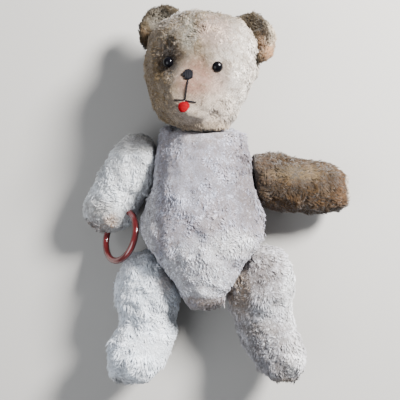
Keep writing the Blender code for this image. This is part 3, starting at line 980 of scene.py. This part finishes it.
def front_share(spots, start):
    """From 0 at the start height to 1 on the very front."""
    return np.clip((spots[:, 2] - start) / WORN_OVER, 0, 1)


def head_wear(spots):
    """Almost bare on the muzzle, thin over the brow."""
    away = (spots - np.array(middle_of("nose"))) * (1, 0.85, 0.8)
    muzzle = np.clip(np.linalg.norm(away, axis=1) / MUZZLE, 0, 1)
    patchy = np.clip(1.6 * soft_noise(spots, 0.014, 92) - 0.35, 0.05, 0.8)
    thin = 1 - front_share(spots, HEAD_WORN_FROM) * patchy
    return thin * (MUZZLE_LEAST + (1 - MUZZLE_LEAST) * np.clip(muzzle * 1.5 - 0.45, 0, 1))


def body_wear(spots):
    """Rubbed thin over the chest and belly."""
    patchy = np.clip(1.5 * soft_noise(spots, 0.016, 91) - 0.25, 0.1, 0.9)
    return 1 - front_share(spots, BODY_WORN_FROM) * patchy


def others(body):
    """What a body's pile has to keep clear of."""
    near = [tree for name, tree in TREES.items() if name != body]
    if body == "head":
        near = near + FACE_TREES
    if body in NEAR_RING:
        near = near + [RING_TREE]
    return near


# The pile of each body: locks, nap, length, width, wear and seed
COAT_PILES = {
    "torso": (15000, combed((0, -1, 0)), 0.0038, 0.0016, body_wear, 1),
    "head": (13000, head_nap, 0.0035, 0.0014, head_wear, 11),
    "left_arm": (6400, combed((1, -0.2, 0)), 0.0040, 0.0014, None, 21),
    "right_arm": (6400, combed((-0.5, -0.86, 0)), 0.0040, 0.0015, None, 31),
    "left_leg": (10000, combed((0.25, -1, 0.2)), 0.0042, 0.0016, None, 41),
    "right_leg": (10000, combed((-0.25, -1, 0.2)), 0.0042, 0.0016, None, 51),
}
LIFT = 0.38
EAR_LIFT = 0.6

for body, (count, nap, length, width, wear, seed) in COAT_PILES.items():
    pile(
        f"{body}_pile",
        body,
        COVERS[body],
        PILES[body],
        count,
        nap,
        length,
        width,
        others(body),
        wear,
        LIFT,
        seed,
    )
for side, across, seed in (("left", 0.3, 61), ("right", -0.3, 62)):
    pile(
        f"{side}_ear_pile",
        "head",
        EARS[side],
        PILES["ears"],
        3600,
        combed((across, 0.8, 0.1)),
        0.0030,
        0.0013,
        [TREES["head"]],
        None,
        EAR_LIFT,
        seed,
    )


# ---------------------------------------------------------------- face

HEAD_CENTRE = Vector((0.001, 0.119, 0.053))
ABOVE_FACE = 0.3

# The glass eyes: their radius, how flat they are, and how far each is sunk into the plush
EYE_RADIUS = 0.0046
EYE_FLATNESS = 0.78
EYE_SEAT = 0.72
EYE_SUNK = {"left": 0.0013, "right": 0.0027}

# The nose is satin stitched: half its width and height, its stitches and its padding
NOSE_HALF_WIDE = 0.0036
NOSE_HALF_TALL = 0.0046
NOSE_STITCHES = 9
NOSE_THREAD = 0.00072
NOSE_PAD = 0.0016
STITCH_STEPS = 3

# The other threads: their radius, how high they lie, and how far their ends are drawn in
THREAD_RADIUS = 0.00055
THREAD_LIFT = 0.0004
THREAD_END = -0.0008


def on_face(x, y):
    """The point and normal of the face straight behind a place seen from the front."""
    return TREES["head"].ray_cast(Vector((x, y, ABOVE_FACE)), Vector((0, 0, -1)))[:2]


def tube(name, points, radius):
    """A thread of even thickness with closed ends."""
    curve = bpy.data.curves.new(name, "CURVE")
    curve.dimensions = "3D"
    curve.bevel_depth = radius
    curve.bevel_resolution = 3
    curve.use_fill_caps = True
    spline = curve.splines.new("POLY")
    spline.points.add(len(points) - 1)
    for entry, point in zip(spline.points, points):
        entry.co = (*point, 1)
    holder = linked(name, curve)
    bpy.context.view_layer.update()
    graph = bpy.context.evaluated_depsgraph_get()
    mesh = bpy.data.meshes.new_from_object(holder.evaluated_get(graph))
    bpy.data.objects.remove(holder)
    bm = bmesh.new()
    bm.from_mesh(mesh)
    bmesh.ops.remove_doubles(bm, verts=bm.verts, dist=SAME_POINT)
    bpy.data.meshes.remove(mesh)
    return bm


def joined(parts, name):
    """Several small shapes as one mesh."""
    bm = bmesh.new()
    for part in parts:
        held = mesh_from(part, "part")
        bm.from_mesh(held)
        bpy.data.meshes.remove(held)
    return mesh_from(bm, name, recalculate=False)


def eye_button(side):
    """A domed glass eye, sunk into the plush."""
    node = f"{side}_eye"
    bm = merged_copy(node)
    dome_top = max(bm.verts, key=lambda vert: (vert.co - HEAD_CENTRE).length).co.copy()
    bm.free()
    outward = (dome_top - HEAD_CENTRE).normalized()
    at = dome_top - outward * (EYE_RADIUS * EYE_SEAT + EYE_SUNK[side])
    turn = outward.to_track_quat("Z", "Y").to_matrix().to_4x4()
    flattened = Matrix.Diagonal((1.0, 1.0, EYE_FLATNESS, 1))
    bm = bmesh.new()
    bmesh.ops.create_uvsphere(
        bm,
        u_segments=32,
        v_segments=20,
        radius=EYE_RADIUS,
        matrix=Matrix.Translation(at) @ turn @ flattened,
    )
    button = piece(f"{side}_eye_button", mesh_from(bm, node), "head", GLASS)
    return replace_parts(button, node)


for side in ("left", "right"):
    eye_button(side)


def thread_piece(name, node, runs, radius):
    """Threads laid along their runs, as one piece."""
    parts = [tube("stitch", run, radius) for run in runs]
    thread = piece(name, joined(parts, name), "head", THREAD)
    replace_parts(thread, node)


def satin_stitch(index):
    """One upright stitch of the nose, bowed over the pad."""
    middle = middle_of("nose")
    across = (2 * index / (NOSE_STITCHES - 1) - 1) * NOSE_HALF_WIDE
    reach = NOSE_HALF_TALL * math.sqrt(max(0.05, 1 - (across / (NOSE_HALF_WIDE * 1.08)) ** 2))
    x = middle.x + across + 0.0004 * math.sin(index * 2.1)
    run = []
    for k in range(2 * STITCH_STEPS + 1):
        point, normal = on_face(x, middle.y + reach * (1 - k / STITCH_STEPS))
        bow = NOSE_PAD * math.sqrt(1 - ((k - STITCH_STEPS) / 3.4) ** 2)
        run.append(point + normal * bow)
    return run


def laid(start, end, steps):
    """A thread laid over the face between two places, drawn in at its ends."""
    run = []
    for i in range(steps + 1):
        x, y = (a + (b - a) * (i / steps) for a, b in zip(start, end))
        point, normal = on_face(x, y)
        run.append(point + normal * (THREAD_END if i in (0, steps) else THREAD_LIFT))
    return run


nose = middle_of("nose")
mouth_low, mouth_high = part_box("mouth_thread")
mouth_x = (mouth_low.x + mouth_high.x) / 2
mouth_y = (mouth_low.y + mouth_high.y) / 2
nose_stitches = [satin_stitch(i) for i in range(NOSE_STITCHES)]
philtrum = laid((nose.x, nose.y - 0.004), (mouth_x, mouth_y), 12)
mouth_runs = [
    laid((mouth_low.x, mouth_y + 0.001), (mouth_x, mouth_y + 0.0005), 8),
    laid((mouth_x, mouth_y), (mouth_high.x, mouth_y - 0.001), 8),
]
thread_piece("stitched_nose", "nose", nose_stitches, NOSE_THREAD)
thread_piece("philtrum_stitch", "philtrum_thread", [philtrum], THREAD_RADIUS)
thread_piece("mouth_stitch", "mouth_thread", mouth_runs, THREAD_RADIUS)

TONGUE_THICKNESS = 0.0014
TONGUE_EDGE = 0.0005
TONGUE_LIFT = 0.0012
TONGUE_DROOP = 0.0006

# How far the tongue's flat top lies above its middle, in half heights
TONGUE_TOP = 0.35


def felt_tongue():
    """A small tongue of red felt, stitched in under the mouth."""
    low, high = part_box("tongue")
    middle, size = (low + high) / 2, high - low
    half_wide, half_tall = size.x / 2, size.y / 2
    bm = bmesh.new()
    bmesh.ops.create_circle(bm, cap_ends=True, segments=28, radius=1)
    bmesh.ops.inset_region(bm, faces=bm.faces[:], thickness=0.25)
    bmesh.ops.triangulate(bm, faces=bm.faces[:])
    bmesh.ops.subdivide_edges(bm, edges=bm.edges[:], cuts=1, use_grid_fill=True)
    centre_y = mouth_y - 0.0008 - 0.675 * half_tall
    for vert in bm.verts:
        x, y = vert.co.x, vert.co.y
        if y > TONGUE_TOP:
            y = TONGUE_TOP + (y - TONGUE_TOP) * 0.5
        point, normal = on_face(middle.x + x * half_wide, centre_y + y * half_tall)
        vert.co = point + normal * (TONGUE_LIFT + TONGUE_DROOP * max(0.0, -y))
    tongue = piece("felt_tongue", mesh_from(bm, "felt_tongue"), "head", FELT)
    solid = tongue.modifiers.new("felt", "SOLIDIFY")
    solid.thickness = TONGUE_THICKNESS
    solid.offset = 0
    bevel = tongue.modifiers.new("edge", "BEVEL")
    bevel.width = TONGUE_EDGE
    bevel.segments = 2
    applied(tongue)
    tongue.data.shade_smooth()
    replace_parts(tongue, "tongue")


felt_tongue()

RING_CENTRE_RADIUS = 0.0230
RING_THICK_RADIUS = 0.0030


def grip_ring():
    """The smooth moulded ring through the right paw."""
    joint = JOINTS["ring_turn"]
    turn = Vector(joint["axis"]).to_track_quat("Z", "Y").to_matrix().to_4x4()
    section_at = Matrix.Translation((RING_CENTRE_RADIUS, 0, 0))
    upright = Matrix.Rotation(math.pi / 2, 4, "X")
    bm = bmesh.new()
    circle = bmesh.ops.create_circle(
        bm, segments=20, radius=RING_THICK_RADIUS, matrix=section_at @ upright
    )
    edges = list(dict.fromkeys(edge for vert in circle["verts"] for edge in vert.link_edges))
    bmesh.ops.spin(
        bm,
        geom=circle["verts"] + edges,
        cent=(0, 0, 0),
        axis=(0, 0, 1),
        angle=2 * math.pi,
        steps=72,
        use_merge=True,
    )
    bmesh.ops.remove_doubles(bm, verts=bm.verts, dist=SAME_POINT)
    bm.transform(Matrix.Translation(joint["pos_m"]) @ turn)
    ring = piece("moulded_ring", mesh_from(bm, "moulded_ring"), "ring", RING)
    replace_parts(ring, "grip_ring")


grip_ring()


# ---------------------------------------------------------------- setting

FLOOR_HALF = 3
LIGHTS_FACE = Vector((0, 0, 0.04))

floor_finish = bpy.data.materials.new("pale floor")
floor_shader = nodes_of(floor_finish)[1]
floor_shader.inputs["Base Color"].default_value = (0.36, 0.352, 0.335, 1)
floor_shader.inputs["Roughness"].default_value = 0.9
bm = bmesh.new()
bmesh.ops.create_grid(bm, x_segments=1, y_segments=1, size=FLOOR_HALF)
floor = linked("floor", mesh_from(bm, "floor"))
floor.data.materials.append(floor_finish)


def area_light(name, place, size, power, colour):
    """A round soft light that faces the bear."""
    data = bpy.data.lights.new(name, "AREA")
    data.shape = "DISK"
    data.size = size
    data.energy = power
    data.color = colour
    light = linked(name, data)
    light.location = place
    light.rotation_euler = (LIGHTS_FACE - Vector(place)).to_track_quat("-Z", "Y").to_euler()


area_light("window", (0.75, 0.55, 0.75), 0.34, 92, (1.0, 0.98, 0.955))
area_light("room", (-0.9, -0.4, 1.2), 1.2, 18, (0.92, 0.95, 1.0))

world = bpy.data.worlds.new("studio")
world.use_nodes = True
sky = world.node_tree.nodes["Background"]
sky.inputs["Color"].default_value = (0.90, 0.93, 1.0, 1)
sky.inputs["Strength"].default_value = 0.26
bpy.context.scene.world = world

camera_data = bpy.data.cameras.new("camera")
camera_data.lens = 65
camera = linked("camera", camera_data)
camera.location = (0, 0, 0.701)
bpy.context.scene.camera = camera
